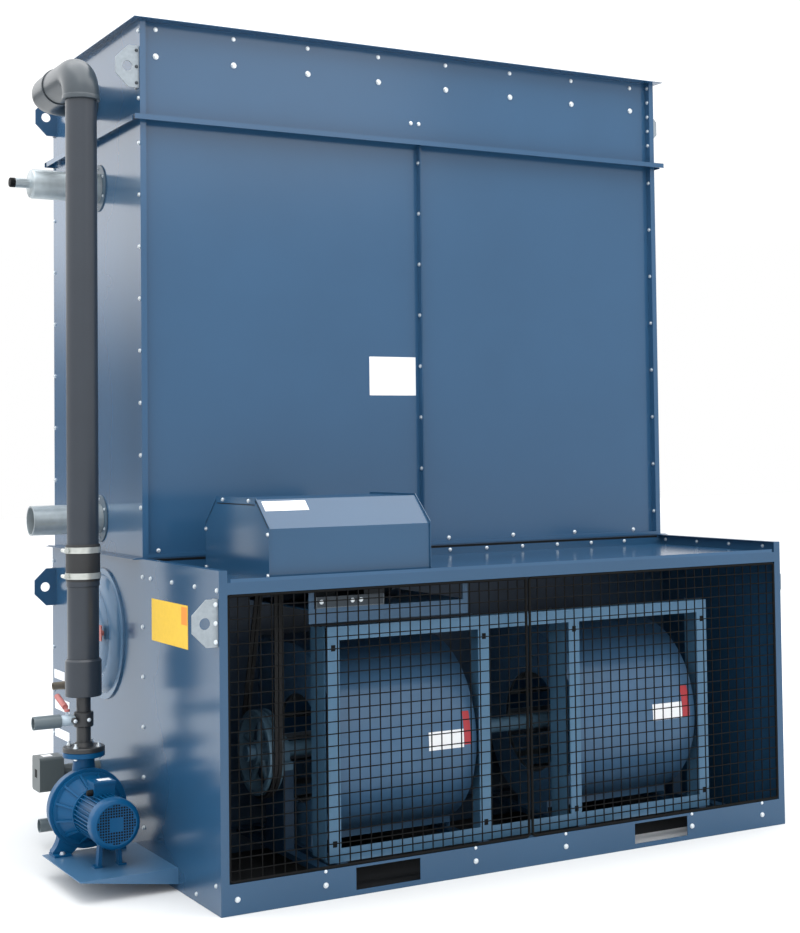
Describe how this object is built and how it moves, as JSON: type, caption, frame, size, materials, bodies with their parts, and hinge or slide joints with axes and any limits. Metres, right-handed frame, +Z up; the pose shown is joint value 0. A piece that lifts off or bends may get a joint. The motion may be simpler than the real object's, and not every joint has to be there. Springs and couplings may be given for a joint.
{
  "type": "evaporative condenser",
  "caption": "Blue sheet-metal evaporative condenser: tall coil casing above a basin, guarded fan chamber with belt-driven centrifugal fans, side pump and spray riser.",
  "frame": {"origin": "middle of the base's length and depth, on the floor", "axes": "+X to the right along the guarded front, +Y from the front to the back, +Z up"},
  "size_m": [3.512, 2.377, 3.85],
  "materials": {
    "casing_blue": "semi-gloss blue enamel",
    "inner_blue": "semi-gloss blue enamel",
    "guard_black": "black coated wire",
    "wheel_steel": "dull galvanised sheet",
    "shaft_steel": "turned steel",
    "cast_iron": "painted casting",
    "rubber": "matte black rubber",
    "motor_paint": "satin paint",
    "galvanised": "hot-dip galvanised",
    "coil_steel": "dull painted steel",
    "pvc_grey": "grey plastic pipe",
    "pump_blue": "satin blue paint",
    "valve_metal": "plated metal",
    "lever_red": "red coated lever",
    "box_grey": "grey moulded box",
    "eliminator_plastic": "dark plastic blades"
  },
  "bodies": {
    "unit": {"left_side_panel": "casing_blue", "right_side_panel": "casing_blue", "lower_rear_panel": "casing_blue", "front_skirt": "casing_blue", "skirt_folds": "casing_blue", "fan_roof": "casing_blue", "motor_hood": "casing_blue", "casing_left_panel": "casing_blue", "casing_right_panel": "casing_blue", "casing_front_panels": "casing_blue", "casing_rear_panels": "casing_blue", "spray_left_panel": "casing_blue", "spray_right_panel": "casing_blue", "spray_front_panel": "casing_blue", "spray_rear_panel": "casing_blue", "inspection_hatch": "casing_blue", "pump_shelf": "casing_blue", "chamber_divider": "inner_blue", "basin_floor": "inner_blue", "base_rails": "inner_blue", "fan_frame_rails": "inner_blue", "fan_frame_posts": "inner_blue", "left_fan_scroll": "inner_blue", "right_fan_scroll": "inner_blue", "motor_platform": "inner_blue", "guard_left": "guard_black", "guard_right": "guard_black", "shaft_bearings": "cast_iron", "drive_belts": "rubber", "rubber_coupling": "rubber", "fan_motor": "motor_paint", "upper_lifting_lugs": "galvanised", "lower_lifting_lugs": "galvanised", "hose_clamps": "galvanised", "makeup_nipple": "galvanised", "pipe_collars": "galvanised", "refrigerant_inlet": "coil_steel", "refrigerant_outlet": "coil_steel", "riser_pipe": "pvc_grey", "pipe_reducer": "pvc_grey", "pump_outlet": "pvc_grey", "bleed_pipe": "pvc_grey", "drain_stub": "pvc_grey", "suction_pipe": "pvc_grey", "pump_casing": "pump_blue", "pump_bracket": "pump_blue", "pump_motor": "pump_blue", "bleed_valve": "valve_metal", "basin_heater": "box_grey", "drift_eliminators": "eliminator_plastic"},
    "fan_rotor": {"fan_shaft": "shaft_steel", "fan_pulley": "cast_iron", "left_fan_wheel": "wheel_steel", "right_fan_wheel": "wheel_steel"},
    "bleed_lever": {"valve_lever": "lever_red"}
  },
  "joints": [
    {"name": "fan_spin", "type": "hinge", "parent": "unit", "child": "fan_rotor", "pos_m": [0, -0.66099, 0.54001], "axis": [1, 0, 0], "continuous": true},
    {"name": "bleed_lever_turn", "type": "hinge", "parent": "unit", "child": "bleed_lever", "pos_m": [-1.7796, -0.125, 0.72], "axis": [0, 0, 1], "range_deg": [0, 90]}
  ]
}
